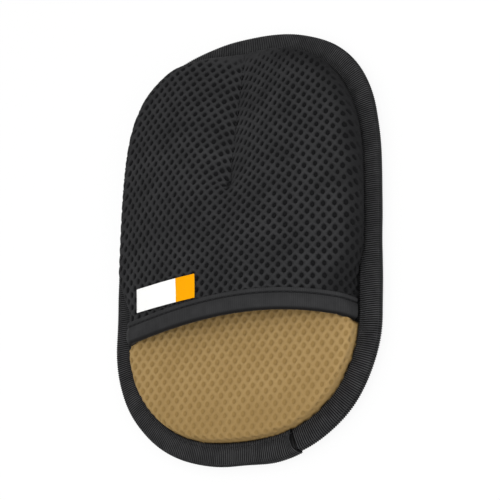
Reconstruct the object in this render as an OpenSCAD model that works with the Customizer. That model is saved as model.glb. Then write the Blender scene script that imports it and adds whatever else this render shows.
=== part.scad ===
// Grooming mitt: a padded oval palm with rubber nubs below and a mesh hand pocket above.
// X runs across the mitt, +Y points to the fingertips and +Z to the pocket side.

/* [Outline] */
// Width of the mitt over its edge binding
mitt_w = 162; // [130:1:190]
// Length from the widest line to the fingertip end
finger_len = 165; // [135:1:190]
// Length from the widest line to the heel end
heel_len = 73; // [60:1:85]
// How long the sides stay full before they round to the fingertips
finger_pow_y = 5.9; // [4:0.1:7]
// How blunt the fingertip end is
finger_pow_x = 2.2; // [2:0.1:2.6]
// How long the sides stay full before they round to the heel
heel_pow_y = 2; // [2:0.1:2.6]
// How blunt the heel end is
heel_pow_x = 2.4; // [2:0.1:2.8]

/* [Edge binding] */
// Width of the binding tape seen on each face
tape_face = 11.5; // [9:0.5:13]
// Thickness of the tape
tape_t = 0.8; // [0.6:0.1:1]
// Place of the tape's lapped end around the rim, in degrees from the right side
lap_at = -69; // [-80:1:-40]
// Length of the lap
lap_len = 14; // [10:1:20]

/* [Palm] */
// Height of the rubber nubs
nub_h = 6; // [3:0.5:10]
// Diameter of a nub at its root
nub_root_d = 5; // [3.5:0.1:6]
// Diameter of a nub at its tip
nub_tip_d = 2.6; // [1.5:0.1:3]
// Distance between neighbouring nubs
nub_pitch = 11; // [9:0.5:14]
// Thickness of the rubber pad
pad_t = 2; // [1.5:0.1:3]
// Distance of the pad's edge from the rim
pad_inset = 17; // [14:0.5:24]
// Distance of the outermost nubs from the pad's edge
nub_margin = 6; // [5:0.5:9]
// Thickness of the palm cloth
shell_t = 1.2; // [0.8:0.1:1.6]
// Thickness of the lining's sewn edge
lining_edge_t = 1.4; // [1:0.1:2]
// Thickness of the lining mesh
lining_t = 4; // [3:0.5:5]
// Radius of the lining's rolled edge at the heel
lining_roll_r = 3; // [2:0.25:3.5]
// Height of the lining's middle above the rim
lining_rise = 7.5; // [6.5:0.5:9]
// Height of the lining's edge above the rim beside the pocket
lining_tuck = 3; // [2:0.5:4]
// Height of the lining's edge above the rim at the fingertips
lining_tip = 1; // [0.5:0.5:2]

/* [Pocket] */
// Distance from the heel end to the pocket's mouth
mouth_from_heel = 70; // [55:1:75]
// How far the middle of the mouth bows towards the fingertips
mouth_bow = 5.5; // [0:0.5:8]
// How far the bow leans to the right side, 0 for an even bow
mouth_skew = 0.7; // [0:0.1:0.8]
// How far the mouth's ends lean in from the seam to the shoulder
mouth_lean = 7; // [4:0.5:9]
// Length over which the mouth's sewn-down ends open into the rolled edge
draw_reach = 28; // [20:1:40]
// Height of the mouth's middle above the rim
mouth_rise = 24; // [21:1:32]
// Thickness of the pocket mesh
mesh_t = 3.2; // [2.5:0.1:4]
// Thickness of the mesh's hem inside the binding
hem_t = 1.2; // [0.8:0.1:1.6]
// Radius of the pocket's rolled side near the mouth
side_roll_r = 6; // [5.5:0.25:7.5]
// Radius of the pocket's rolled side near the fingertips
corner_roll_r = 6.5; // [6:0.25:9.5]
// Share by which the right corner's roll is drawn in, so that it leaves the tape bare
corner_draw = 0.8; // [0:0.1:0.9]
// Radius of the pocket's rolled end at the fingertips
end_roll_r = 2.5; // [2.5:0.25:5]
// Length of the dart from the fingertip end of the pocket
dart_len = 79; // [50:1:85]
// Depth of the dart's crease
dart_depth = 3.5; // [2:0.5:6]
// Reach of the crease to each side
dart_reach = 8; // [5:0.5:12]

/* [Mouth binding] */
// Width of the tape on the mouth
mouth_band = 11; // [10:0.5:14]
// Distance of the stitch line from the band's upper edge
mouth_stitch_in = 2.4; // [1.5:0.1:4]

/* [Label] */
// Length of the label along its sewn edge
label_l = 43; // [30:1:46]
// Height of the label
label_w = 13; // [10:0.5:16]
// Thickness of the label ribbon
label_t = 0.4; // [0.3:0.05:0.6]
// Length of the label's coloured end
label_end_l = 13; // [8:1:18]
// Place of the label's middle across the mitt
label_x = -36; // [-40:1:-30]
// Turn of the label away from the band's edge, in degrees
label_twist = 3.5; // [0:0.5:5]

/* [Stitching] */
// Diameter of the sewing thread
thread_d = 0.5; // [0.4:0.05:0.7]
// Distance of the edge stitching from the tape's inner edge
edge_stitch_in = 2; // [1.5:0.1:3]
// Distance of the pad's stitching from the pad's edge
pad_stitch_in = 2; // [1.5:0.1:2.5]

/* [Hidden] */

// Stations around the whole rim
rim_steps = 72;
// Stations around the pocket's seam, with one on the centre line
pocket_steps = 38;
// Room between sewn layers that lie on each other
layer_gap = 0.1;
// Room between soft curved layers
soft_gap = 0.25;
// Sides of a round nub
round_fn = 24;

half_w = mitt_w / 2;
widest_y = (heel_len - finger_len) / 2;
heel_y = widest_y - heel_len;
tip_y = widest_y + finger_len;

// Levels from the nub tips upwards
pad_z = nub_h;
shell_z = pad_z + pad_t;
lining_z = shell_z + shell_t;
hem_z = lining_z + lining_edge_t + layer_gap;
slot_z = hem_z + hem_t + layer_gap;
rim_z = slot_z + tape_t;

// A layer caught inside the binding starts this far from the rim
caught = tape_t + 2 * soft_gap;
// A layer leaves the binding this far from the rim
leave = tape_face + soft_gap;
// Height at which a roll starts above the rim, clear of the lapped tape
lining_lift = tape_t + 2 * soft_gap;
pocket_lift = thread_d;
// Outer face of the mouth's tape above the mesh
band_out = layer_gap + tape_t;

mouth_y = heel_y + mouth_from_heel;
// The pocket keeps one cross-section under the mouth band
collar_len = mouth_band + 1.5;
collar_y = mouth_y + collar_len;

function smooth(a, b, v) =
    let (u = min(max((v - a) / (b - a), 0), 1))
    u * u * (3 - 2 * u);
function mix(a, b, u) = a + (b - a) * u;

// Rim outline, by an angle that runs from the right side to the fingertips
function rim_at(t) =
    let (s = sin(t), c = cos(t), up = s >= 0)
    let (b = up ? finger_len : heel_len, m = up ? finger_pow_y : heel_pow_y)
    let (n = up ? finger_pow_x : heel_pow_x)
    [half_w * sign(c) * pow(max(1 - pow(abs(s), m), 0), 1 / n), widest_y + b * s];
function rim_inward(t) =
    let (e = 0.5, d = rim_at(t + e) - rim_at(t - e))
    [-d.y, d.x] / norm(d);
function inset_at(t, d) = rim_at(t) + d * rim_inward(t);
function angle_at(y) = asin((y - widest_y) / (y >= widest_y ? finger_len : heel_len));
function rim_angles() = [for (i = [0 : rim_steps - 1]) i * 360 / rim_steps];
function inset_outline(d) = [for (t = rim_angles()) inset_at(t, d)];
function inside(x, y, d) =
    let (up = y >= widest_y, b = (up ? finger_len : heel_len) - d)
    let (m = up ? finger_pow_y : heel_pow_y, n = up ? finger_pow_x : heel_pow_x)
    pow(abs(x) / (half_w - d), n) + pow(abs(y - widest_y) / b, m) < 1;

// Solid between two middle points and the rings that run from one to the other
module ringed_solid(top, rings, bottom) {
    n = len(rings[0]);
    last = 1 + (len(rings) - 1) * n;
    end = last + n;
    polyhedron(
        points = concat([top], [for (r = rings) each r], [bottom]),
        faces = concat(
            [for (i = [0 : n - 1]) [0, 1 + (i + 1) % n, 1 + i]],
            [for (k = [0 : len(rings) - 2], i = [0 : n - 1])
                let (a = 1 + k * n + i, b = 1 + k * n + (i + 1) % n)
                each [[a, b, b + n], [a, b + n, a + n]]],
            [for (i = [0 : n - 1]) [end, last + i, last + (i + 1) % n]]));
}

// Solid swept through a row of matching cross-sections
module swept_solid(sections, looped) {
    n = len(sections[0]);
    m = len(sections);
    faces = [for (j = [0 : m - (looped ? 1 : 2)], k = [0 : n - 1])
        let (q = (j + 1) % m, l = (k + 1) % n)
        each [[j * n + k, j * n + l, q * n + l], [j * n + k, q * n + l, q * n + k]]];
    caps = looped ? [] : [
        [for (k = [n - 1 : -1 : 0]) k],
        [for (k = [0 : n - 1]) (m - 1) * n + k]];
    polyhedron(points = [for (s = sections) each s], faces = concat(faces, caps));
}

// Edge binding

lap_deg = lap_len * 180 / (PI * half_w);
// The tape climbs onto its own start over this angle
lap_climb = lap_deg * 0.6;
lap_lift = tape_t + layer_gap;
lap_from = lap_at + 360 - lap_deg;
function tape_lift(t) = lap_lift * smooth(lap_from - lap_climb, lap_from, t);
function tape_angles() =
    let (start = lap_at - lap_deg, whole = 360, n = rim_steps)
    concat([for (i = [0 : n - 2]) start + i * (whole - lap_climb) / (n - 2)],
        [for (i = [1 : 4]) start + whole - lap_climb + i * lap_climb / 4],
        [for (i = [1 : 3]) start + whole + i * lap_deg / 3]);
function at_inset(t, dz) = [for (p = dz) concat(inset_at(t, p[0]), [p[1]])];
function tape_section(o) =
    let (low = shell_z, high = slot_z, f = tape_t, t = tape_t)
    [[-o, low + f], [-o, high - f], [0.4 * f - o, high + 0.5 * t + o], [1.6 * f - o, high + t + o],
     [tape_face, high + t + o], [tape_face, high + o], [t - o, high + o],
     [t - o, low - o], [tape_face, low - o], [tape_face, low - t - o],
     [1.6 * f - o, low - t - o], [0.4 * f - o, low - 0.5 * t - o]];

module edge_binding() {
    color([0.17, 0.17, 0.17])
        swept_solid([for (t = tape_angles()) at_inset(t, tape_section(tape_lift(t)))], false);
}

// A thread lies on the tape and steps over the lapped end
function thread_lift(t) =
    let (u = t < lap_at + 180 ? t + 360 : t, over = lap_at + 360)
    lap_lift * (smooth(lap_from - lap_climb, lap_from, u)
        - smooth(over + lap_climb / 8, over + lap_climb, u));
function thread_angles() =
    let (plain = 360 - lap_deg - 2 * lap_climb)
    concat([for (i = [0 : rim_steps - 1]) lap_at + lap_climb + i * plain / rim_steps],
        [for (i = [0 : 7]) lap_from - lap_climb + i * (lap_deg + 2 * lap_climb) / 8]);
thread_in = tape_face - edge_stitch_in;
function thread_section(z, rise) =
    [[thread_in - thread_d / 2, min(z, z + rise)], [thread_in - thread_d / 2, max(z, z + rise)],
     [thread_in + thread_d / 2, max(z, z + rise)], [thread_in + thread_d / 2, min(z, z + rise)]];

module edge_needle_thread() {
    color([0.12, 0.12, 0.12])
        swept_solid([for (t = thread_angles())
            at_inset(t, thread_section(rim_z + thread_lift(t), pocket_lift * 0.7))], true);
}

module edge_bobbin_thread() {
    color([0.12, 0.12, 0.12])
        swept_solid([for (t = thread_angles())
            at_inset(t, thread_section(shell_z - tape_t - thread_lift(t), -thread_d * 0.7))], true);
}

// Palm

module nub_pad() {
    row = nub_pitch * sqrt(3) / 2;
    root = 0.4;
    color([0.13, 0.13, 0.14])
        union() {
            translate([0, 0, pad_z])
                linear_extrude(pad_t)
                    polygon(inset_outline(pad_inset));
            for (j = [floor(heel_y / row) : ceil(tip_y / row)],
                i = [-ceil(half_w / nub_pitch) : ceil(half_w / nub_pitch)]) {
                x = (i + (j % 2 == 0 ? 0 : 0.5)) * nub_pitch;
                y = j * row;
                if (inside(x, y, pad_inset + nub_margin))
                    translate([x, y, 0])
                        cylinder(d1 = nub_tip_d, d2 = mix(nub_tip_d, nub_root_d, (nub_h + root) / nub_h),
                            h = nub_h + root, $fn = round_fn);
            }
        }
}

module pad_stitch() {
    in = pad_inset + pad_stitch_in;
    w = thread_d / 2;
    section = [[in - w, pad_z - thread_d], [in - w, pad_z], [in + w, pad_z], [in + w, pad_z - thread_d]];
    color([0.1, 0.1, 0.1])
        swept_solid([for (t = rim_angles()) at_inset(t, section)], true);
}

module palm_shell() {
    color([0.16, 0.16, 0.16])
        translate([0, 0, shell_z])
            linear_extrude(shell_t)
                polygon(inset_outline(caught));
}

// Lining: plump and rolled over the tape at the heel, tucked in beside the pocket

lining_mid = [0, mouth_y + collar_len];
// The plump heel ends and the tucked part begins just before the mouth
plump_y = mouth_y - lining_roll_r - band_out - 2 * soft_gap;
tucked_y = mouth_y - band_out - 2 * soft_gap;
function tucked(y) = smooth(plump_y, tucked_y, y);
// Stations around the lining, with one on each side of both ends of the mouth
function lining_angles() =
    let (a = angle_at(plump_y), b = angle_at(tucked_y), n = rim_steps / 2)
    concat([for (i = [0 : n]) b + i * (180 - 2 * b) / n],
        [for (i = [0 : n - 4]) 180 - a + i * (180 + 2 * a) / (n - 4)]);
function lining_edge(y) =
    let (heel = lining_lift + 2 * lining_roll_r,
        inner = mix(lining_tuck, lining_tip, smooth(mouth_y, tip_y, y)))
    mix(heel, inner, tucked(y));
function lining_r(y) = mix(lining_roll_r, lining_tip / 2, tucked(y));
// The pocket's seam takes this much room inside the tape's inner edge
seam_room = 2 * hem_t + soft_gap;
function lining_roll_in(y) =
    mix(leave + 1.25 * lining_roll_r, leave + seam_room + lining_r(y) + soft_gap, tucked(y));
function lining_plan(t, u) =
    let (y = rim_at(t).y)
    mix(lining_mid, inset_at(t, lining_roll_in(y)), u);
function lining_top(t, u) =
    let (e = lining_edge(rim_at(t).y))
    rim_z + e + (lining_rise - e) * (1 - u * u);
function lining_under(t, u) = max(lining_top(t, u) - lining_t, lining_z + 4 * soft_gap);
lining_shares = [0.3, 0.6, 0.8, 0.92];
roll_turns = [90, 50, 10, -30, -70];

function lining_top_ring(u) = [for (t = lining_angles()) concat(lining_plan(t, u), [lining_top(t, u)])];
function lining_under_ring(u, drop) =
    [for (t = lining_angles()) concat(lining_plan(t, u), [lining_under(t, u) - drop])];
function lining_roll_ring(p) =
    [for (t = lining_angles())
        let (y = rim_at(t).y, r = lining_r(y))
        concat(inset_at(t, lining_roll_in(y) - r * cos(p)),
            [rim_z + lining_edge(y) - r + r * sin(p)])];
function lining_neck_ring(z) =
    [for (t = lining_angles())
        let (y = rim_at(t).y)
        concat(inset_at(t, mix(leave, leave + seam_room, tucked(y))), [z])];

function lining_rim_ring(z) = [for (t = lining_angles()) concat(inset_at(t, caught), [z])];

module palm_lining() {
    flange_z = lining_z + lining_edge_t;
    mid_z = rim_z + lining_rise;
    color([0.62, 0.51, 0.34])
        ringed_solid(
            concat(lining_mid, [mid_z]),
            concat(
                [for (u = lining_shares) lining_top_ring(u)],
                [for (p = roll_turns) lining_roll_ring(p)],
                [lining_neck_ring(flange_z), lining_rim_ring(flange_z), lining_rim_ring(lining_z)],
                [[for (t = lining_angles()) concat(lining_plan(t, 0.96), [lining_z])]],
                [for (i = [len(lining_shares) - 1 : -1 : 0]) lining_under_ring(lining_shares[i], 0)]),
            concat(lining_mid, [mid_z - lining_t]));
}

module foam_interlining() {
    color([0.85, 0.84, 0.8])
        ringed_solid(
            concat(lining_mid, [rim_z + lining_rise - lining_t - soft_gap]),
            concat(
                [for (u = lining_shares) lining_under_ring(u, soft_gap)],
                [[for (t = lining_angles()) concat(lining_plan(t, lining_shares[3]), [lining_z])]]),
            concat(lining_mid, [lining_z]));
}

// Pocket: sections run from the seam over the rolled edge to one point in the mouth's middle

mouth_mid = [0, collar_y];
roll_in = leave + 2 * soft_gap;
pocket_from = angle_at(collar_y);
crown_shares = [0.9, 0.78, 0.64, 0.5, 0.36, 0.2];
pocket_turns = [-90, -50, -10, 30, 60, 90];
function pocket_angles() =
    [for (j = [0 : pocket_steps]) pocket_from + j * (180 - 2 * pocket_from) / pocket_steps];
function near_dart(x) = exp(-abs(x) / dart_reach);
dart_top_y = tip_y - roll_in;
dart_end_y = dart_top_y - dart_len;
// 0 on the sides, 1 at the fingertips
function far_up(t) = smooth(widest_y + finger_len / 2, tip_y - 2 * dart_reach, rim_at(t).y);
function pocket_r(t) =
    let (x = abs(rim_at(t).x))
    mix(end_roll_r, mix(side_roll_r, corner_roll_r, far_up(t)), smooth(dart_reach / 2, 0.6 * half_w, x))
        * (1 - 0.3 * near_dart(x));
// 1 where the mouth's ends are sewn down, 0 where the edge rolls out freely
function drawn_in(t) = 1 - smooth(collar_y, collar_y + draw_reach, rim_at(t).y);
function corner_drawn(t) = corner_draw * far_up(t) * smooth(0, half_w / 2, rim_at(t).x);
// Inset of the edge at a turn of its roll, from its foot at -90 degrees to its top at 90
function roll_inset(t, p) =
    let (d = drawn_in(t))
    roll_in - pocket_r(t) * cos(p) * (1 - d) * (1 - corner_drawn(t))
        + mouth_lean * d * pow((p + 90) / 180, 2);
function pocket_edge(t) = pocket_lift + 2 * pocket_r(t);
function mesh_at_roll(t) = min(mesh_t, 0.55 * pocket_r(t));
function crown_plan(t, u) = mix(mouth_mid, inset_at(t, roll_inset(t, 90)), u);
function crown_z(t, u) =
    let (e = pocket_edge(t), p = crown_plan(t, u),
        crease = near_dart(p.x) * smooth(dart_end_y - dart_reach, dart_end_y + dart_reach, p.y))
    rim_z + e + (mouth_rise - e) * (1 - u * u) - dart_depth * crease * (1 - pow(u, 6));
function crown_mesh(t, u) = mix(mesh_t, mesh_at_roll(t), u * u);
function pocket_outer(t) =
    let (r = pocket_r(t))
    concat(at_inset(t, [[caught, hem_z + hem_t], [leave, hem_z + hem_t]]),
        at_inset(t, [for (p = pocket_turns) [roll_inset(t, p), rim_z + pocket_lift + r + r * sin(p)]]),
        [for (u = crown_shares) concat(crown_plan(t, u), [crown_z(t, u)])]);
function pocket_inner(t) =
    let (r = pocket_r(t), m = mesh_at_roll(t), q = r - m)
    concat(at_inset(t, [[caught, hem_z], [leave + hem_t, hem_z]]),
        at_inset(t, [[leave + 2 * hem_t, rim_z + pocket_lift + mesh_at_roll(t) * 0.6]]),
        at_inset(t, [for (i = [1 : len(pocket_turns) - 1])
            [roll_inset(t, pocket_turns[i]) + m * cos(pocket_turns[i]),
             rim_z + pocket_lift + r + q * sin(pocket_turns[i])]]),
        [for (u = crown_shares) concat(crown_plan(t, u), [crown_z(t, u) - crown_mesh(t, u)])]);
function backwards(v) = [for (i = [len(v) - 1 : -1 : 0]) v[i]];
bow_half = half_w - roll_in;
function bow_at(x) = mouth_bow * max(1 - pow(x / bow_half, 2), 0) * (1 + mouth_skew * x / bow_half);
// The mouth's edge bows towards the fingertips, and the bow fades along the pocket
function bowed(p) =
    let (f = 1 - smooth(collar_y, collar_y + finger_len / 2, p.y))
    [p.x, p.y + bow_at(p.x) * f, p.z];
function shifted(v, dy) = [for (p = v) [p.x, p.y + dy, p.z]];

module pocket_mesh() {
    angles = pocket_angles();
    rows = [for (t = angles) concat(pocket_outer(t), backwards(pocket_inner(t)))];
    all_rows = concat([shifted(rows[0], -collar_len)], rows, [shifted(rows[len(rows) - 1], -collar_len)]);
    m = len(all_rows);
    h = len(pocket_outer(angles[0]));
    n = 2 * h + 2;
    top = [0, collar_y, rim_z + mouth_rise];
    low = [0, collar_y, rim_z + mouth_rise - mesh_t];
    mids = concat(shifted([top, low], -collar_len), [top, low]);
    // Vertex of row j at place k, where places h and h + 1 are the shared middle points
    function at(j, k) =
        k < h ? j * 2 * h + k :
        k > h + 1 ? j * 2 * h + k - 2 :
        m * 2 * h + (k - h) + (j == 0 || j == m - 1 ? 0 : 2);
    function across(j, k) = at(j, n - 1 - k);
    sides = [for (j = [0 : m - 2], k = [0 : n - 1])
        let (a = at(j, k), b = at(j, (k + 1) % n), c = at(j + 1, (k + 1) % n), d = at(j + 1, k))
        each k == h ? [] : a == d ? [[a, b, c]] : b == c ? [[a, b, d]] : [[a, b, c], [a, c, d]]];
    caps = [for (k = [0 : h - 1])
        each [[at(0, k + 1), at(0, k), across(0, k)], [at(0, k + 1), across(0, k), across(0, k + 1)],
            [at(m - 1, k), at(m - 1, k + 1), across(m - 1, k + 1)],
            [at(m - 1, k), across(m - 1, k + 1), across(m - 1, k)]]];
    color([0.16, 0.16, 0.16])
        polyhedron(points = [for (p = concat([for (r = all_rows) each r], mids)) bowed(p)],
            faces = concat(sides, caps));
}

module dart_stitch() {
    w = thread_d / 2;
    shares = concat([0], backwards(concat([1], crown_shares)));
    crease = [for (u = shares) [crown_plan(90, u).y, crown_z(90, u)]];
    places = concat([dart_end_y], [for (p = crease) if (p[0] > dart_end_y + thread_d) p[0]]);
    color([0.1, 0.1, 0.1])
        swept_solid([for (y = places)
            let (z = lookup(y, crease) + soft_gap)
            [for (p = [[w, 0], [w, thread_d], [-w, thread_d], [-w, 0]]) bowed([p[0], y, z + p[1]])]], false);
}

// Mouth binding: the same tape folded over the pocket's edge

mouth_right = pocket_outer(pocket_from);
mouth_right_in = pocket_inner(pocket_from);
// Places along the section where the band begins, and the arch from the right side to the left
band_from = 3;
function arch(v, mid) =
    let (half = [for (i = [band_from : len(v) - 1]) [v[i].x, v[i].z]])
    concat(half, [[0, mid]], [for (p = backwards(half)) [-p[0], p[1]]]);
arch_out = arch(mouth_right, rim_z + mouth_rise);
arch_in = arch(mouth_right_in, rim_z + mouth_rise - mesh_t);
function arch_normal(v, i) =
    let (a = v[max(i - 1, 0)], b = v[min(i + 1, len(v) - 1)], d = b - a)
    [d[1], -d[0]] / norm(d);
function off_arch(v, i, d, y) =
    let (p = v[i] + d * arch_normal(v, i))
    bowed([p[0], y, p[1]]);
band_top_y = mouth_y + mouth_band - tape_t;

module mouth_binding() {
    front = mouth_y - layer_gap;
    function section(i) = [
        off_arch(arch_out, i, band_out, front), off_arch(arch_out, i, layer_gap, front - tape_t),
        off_arch(arch_in, i, -layer_gap, front - tape_t), off_arch(arch_in, i, -band_out, front),
        off_arch(arch_in, i, -band_out, band_top_y), off_arch(arch_in, i, -layer_gap, band_top_y),
        off_arch(arch_in, i, -layer_gap, front), off_arch(arch_out, i, layer_gap, front),
        off_arch(arch_out, i, layer_gap, band_top_y), off_arch(arch_out, i, band_out, band_top_y)];
    color([0.2, 0.2, 0.2])
        swept_solid([for (i = [0 : len(arch_out) - 1]) section(i)], false);
}

module mouth_stitch() {
    y = band_top_y - mouth_stitch_in;
    w = thread_d / 2;
    rise = band_out + thread_d * 0.7;
    color([0.1, 0.1, 0.1])
        swept_solid([for (i = [0 : len(arch_out) - 1])
            [off_arch(arch_out, i, rise, y - w), off_arch(arch_out, i, band_out, y - w),
             off_arch(arch_out, i, band_out, y + w), off_arch(arch_out, i, rise, y + w)]], false);
}

// Label: a flat ribbon beside the band's upper edge, tangent to the pocket

arch_half = bow_half - mouth_lean;
arch_drop = mouth_rise - pocket_edge(pocket_from);
function arch_z(x) = rim_z + mouth_rise - arch_drop * pow(x / arch_half, 2);
label_slope = atan(-2 * arch_drop * label_x / pow(arch_half, 2));
label_turn = atan((bow_at(label_x + label_l / 2) - bow_at(label_x - label_l / 2)) / label_l) - label_twist;
// The band's edge rises above the label's straight edge by its bow and by the label's turn
label_sag = mouth_bow * pow(label_l / 2 / bow_half, 2) + label_l / 2 * sin(label_twist);
label_y = band_top_y + bow_at(label_x) + label_sag + soft_gap;
label_z = arch_z(label_x) + 3 * soft_gap;

module label_plate(from, to) {
    translate([label_x, label_y, label_z])
        rotate([0, -label_slope, label_turn])
            translate([from, 0, 0])
                cube([to - from, label_w, label_t]);
}

module label_tag() {
    color([0.97, 0.97, 0.95])
        label_plate(-label_l / 2, label_l / 2 - label_end_l);
}

module label_end() {
    color([0.98, 0.66, 0.05])
        label_plate(label_l / 2 - label_end_l, label_l / 2);
}

nub_pad();
pad_stitch();
palm_shell();
foam_interlining();
palm_lining();
edge_binding();
edge_needle_thread();
edge_bobbin_thread();
pocket_mesh();
dart_stitch();
mouth_binding();
mouth_stitch();
label_tag();
label_end();
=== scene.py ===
"""Grooming glove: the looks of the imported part, made as sewn cloth, netting, tape and moulded rubber."""

import math

import bmesh
import bpy
import numpy as np
from mathutils import Matrix, Vector


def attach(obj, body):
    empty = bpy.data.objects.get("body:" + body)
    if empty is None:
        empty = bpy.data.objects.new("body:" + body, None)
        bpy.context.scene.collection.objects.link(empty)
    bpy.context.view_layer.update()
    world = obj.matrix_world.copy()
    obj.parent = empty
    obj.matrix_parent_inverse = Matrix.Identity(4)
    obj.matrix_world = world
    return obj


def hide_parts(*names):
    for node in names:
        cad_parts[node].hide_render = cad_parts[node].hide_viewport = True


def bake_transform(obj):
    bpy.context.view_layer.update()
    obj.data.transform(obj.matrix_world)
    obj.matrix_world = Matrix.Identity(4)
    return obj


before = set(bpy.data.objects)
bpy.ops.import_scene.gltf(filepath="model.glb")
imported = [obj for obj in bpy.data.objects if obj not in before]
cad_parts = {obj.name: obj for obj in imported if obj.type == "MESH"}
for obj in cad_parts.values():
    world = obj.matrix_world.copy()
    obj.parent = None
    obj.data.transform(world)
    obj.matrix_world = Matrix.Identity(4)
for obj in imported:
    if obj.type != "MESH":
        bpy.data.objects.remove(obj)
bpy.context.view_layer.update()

# Sizes in millimetres, the same as the part's source

MM = 0.001
MITT_W, FINGER_LEN, HEEL_LEN = 162, 165, 73
FINGER_POW_Y, FINGER_POW_X = 5.9, 2.2
HEEL_POW_Y, HEEL_POW_X = 2, 2.4
TAPE_FACE, TAPE_T = 11.5, 0.8
LAP_AT, LAP_LEN = -69, 14
NUB_H, NUB_ROOT_D, NUB_TIP_D, NUB_PITCH = 6, 5, 2.6, 11
PAD_T, PAD_INSET, NUB_MARGIN, PAD_STITCH_IN = 2, 17, 6, 2
SHELL_T, LINING_EDGE_T, HEM_T = 1.2, 1.4, 1.2
LINING_ROLL_R, LINING_RISE, LINING_TUCK, LINING_TIP = 3, 7.5, 3, 1
MOUTH_FROM_HEEL, MOUTH_RISE, MOUTH_BAND = 70, 24, 11
MESH_T, SIDE_ROLL_R, CORNER_ROLL_R, END_ROLL_R, CORNER_DRAW = 3.2, 6, 6.5, 2.5, 0.8
MOUTH_BOW, MOUTH_SKEW, MOUTH_LEAN, DRAW_REACH = 5.5, 0.7, 7, 28
DART_LEN, DART_DEPTH, DART_REACH = 79, 3.5, 8
LABEL_L, LABEL_W, LABEL_T, LABEL_END_L = 43, 13, 0.4, 13
LABEL_X, LABEL_TWIST = -36, math.radians(3.5)
THREAD_D, EDGE_STITCH_IN, MOUTH_STITCH_IN = 0.5, 2, 2.4
LAYER_GAP, SOFT_GAP = 0.1, 0.25

HALF_W = MITT_W / 2
WIDEST_Y = (HEEL_LEN - FINGER_LEN) / 2
HEEL_Y = WIDEST_Y - HEEL_LEN
TIP_Y = WIDEST_Y + FINGER_LEN
PAD_Z = NUB_H
SHELL_Z = PAD_Z + PAD_T
LINING_Z = SHELL_Z + SHELL_T
HEM_Z = LINING_Z + LINING_EDGE_T + LAYER_GAP
SLOT_Z = HEM_Z + HEM_T + LAYER_GAP
RIM_Z = SLOT_Z + TAPE_T
CAUGHT = TAPE_T + 2 * SOFT_GAP
LEAVE = TAPE_FACE + SOFT_GAP
BAND_OUT = LAYER_GAP + TAPE_T
ROLL_IN = LEAVE + 2 * SOFT_GAP
MOUTH_Y = HEEL_Y + MOUTH_FROM_HEEL
COLLAR_LEN = MOUTH_BAND + 1.5
COLLAR_Y = MOUTH_Y + COLLAR_LEN
BAND_TOP_Y = MOUTH_Y + MOUTH_BAND - TAPE_T
DART_END_Y = TIP_Y - ROLL_IN - DART_LEN
BOW_HALF = HALF_W - ROLL_IN
ARCH_HALF = BOW_HALF - MOUTH_LEAN

# Sizes that only the looks have

RIB_PITCH = 1.15
RIB_H = 0.6
BLACK_NET = {"across": 5.8, "row": 3.15, "hole": (2.7, 3.5), "depth": 1.2}
TAN_NET = {"across": 5.45, "row": 3.6, "hole": (2.95, 3.75), "depth": 0.55}
NET_SIDE = 0.45
# A hole's size where it is pulled shut, its floor's size and how far its rim sinks, all as shares
SHUT_HOLE, HOLE_FLOOR, HOLE_RIM_SINK = 0.35, 0.72, 0.3
# Spread of the holes from their even places, and of their size as a share
UNEVEN_PLACE, UNEVEN_SIZE, UNEVEN_SEED = 0.1, 0.06, 3
# The nets are laid out this far past the mitt, across and along, and then trimmed
NET_SPARE_X, NET_SPARE_Y = 40, 40
DART_WEDGE = math.radians(7)
STITCH_LEN, STITCH_GAP = 2.7, 0.9
# A stitch's ends dive by this much, in millimetres, and thin by this share
STITCH_DIVE, STITCH_THIN = 0.45, 0.45
# The lining stays full this far inside the mouth
FULL_REACH = 25
# The dart draws the net down beside it and puckers it at the lower end
DART_PULL, DART_PULL_REACH = 4, 5
PUCKER_DEPTH, PUCKER_X, PUCKER_Y = 1.6, 2.5, 5
# The pocket's edge by inset and height, from its foot down beside the tape and on below it
FOOT = (ROLL_IN, RIM_Z + THREAD_D)
NECK = (LEAVE + 0.1, RIM_Z - TAPE_T - 0.25)
HEM = (TAPE_FACE - 2, RIM_Z - TAPE_T - 0.4)
HEM_PATH = math.dist(FOOT, NECK) + math.dist(NECK, HEM)
# Both nets get a painted shadow this close to the tape
SEAM_REACH = 3
POCKET_SEAM_SHADE = 0.85
# The nets' holes are pulled shut towards the outer seam, between these distances from it
CLOSED_TO_OPEN = (4, 14)
LINING_CLOSED_TO_OPEN = (1.5, 7)
# The black net's holes stay open beside the mouth, wholly up to the first of these distances
OPEN_BY_MOUTH = (15, 55)
# The steep right flank gets a painted shade, for the shade in its pores, wholly up to the first distance
# from its seam
FLANK_SHADE, FLANK_REACH = 0.36, (12, 28)
# Painted shade on the heel's net darkens its threads towards its holes' colour, so they differ less
HEEL_SHADE, HEEL_SHADE_FROM_TO = 0.25, (0.5, 0.9)
# The dart's lower end has a painted shadow in its notch: its shade, its half width and length, and its place
# above the end
NOTCH_SHADE, NOTCH_X, NOTCH_Y, NOTCH_UP = 0.9, 1.2, 3, 2
# The edge tape's inner edge and its outer fold get painted shade, the fold between these distances from the
# rim
TAPE_EDGE_SHADE, TAPE_FOLD_SHADE, TAPE_FOLD_REACH = 0.1, 0.25, (1.6, 0.4)
# Width of the painted shadow at the lap's cut end and of the painted shadow line beside it
LAP_CUT, LAP_LINE = 0.4, 0.6
# The mouth tape's ribs are lower than the edge tape's, by this share
MOUTH_RIB = 0.15
# The ribbon sags to both sides, lifts along its free side and waves there
LABEL_SAG, LABEL_LIFT, LABEL_WAVE, LABEL_WAVE_LEN = 0.8, 0.35, 0.12, 6.5
LABEL_ROUND = 0.12


def smooth(a, b, v):
    u = np.clip((v - a) / (b - a), 0, 1)
    return u * u * (3 - 2 * u)


def mix(a, b, u):
    return a + (b - a) * u


def unit(v):
    return v / np.maximum(np.linalg.norm(v, axis=-1, keepdims=True), 1e-9)


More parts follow.
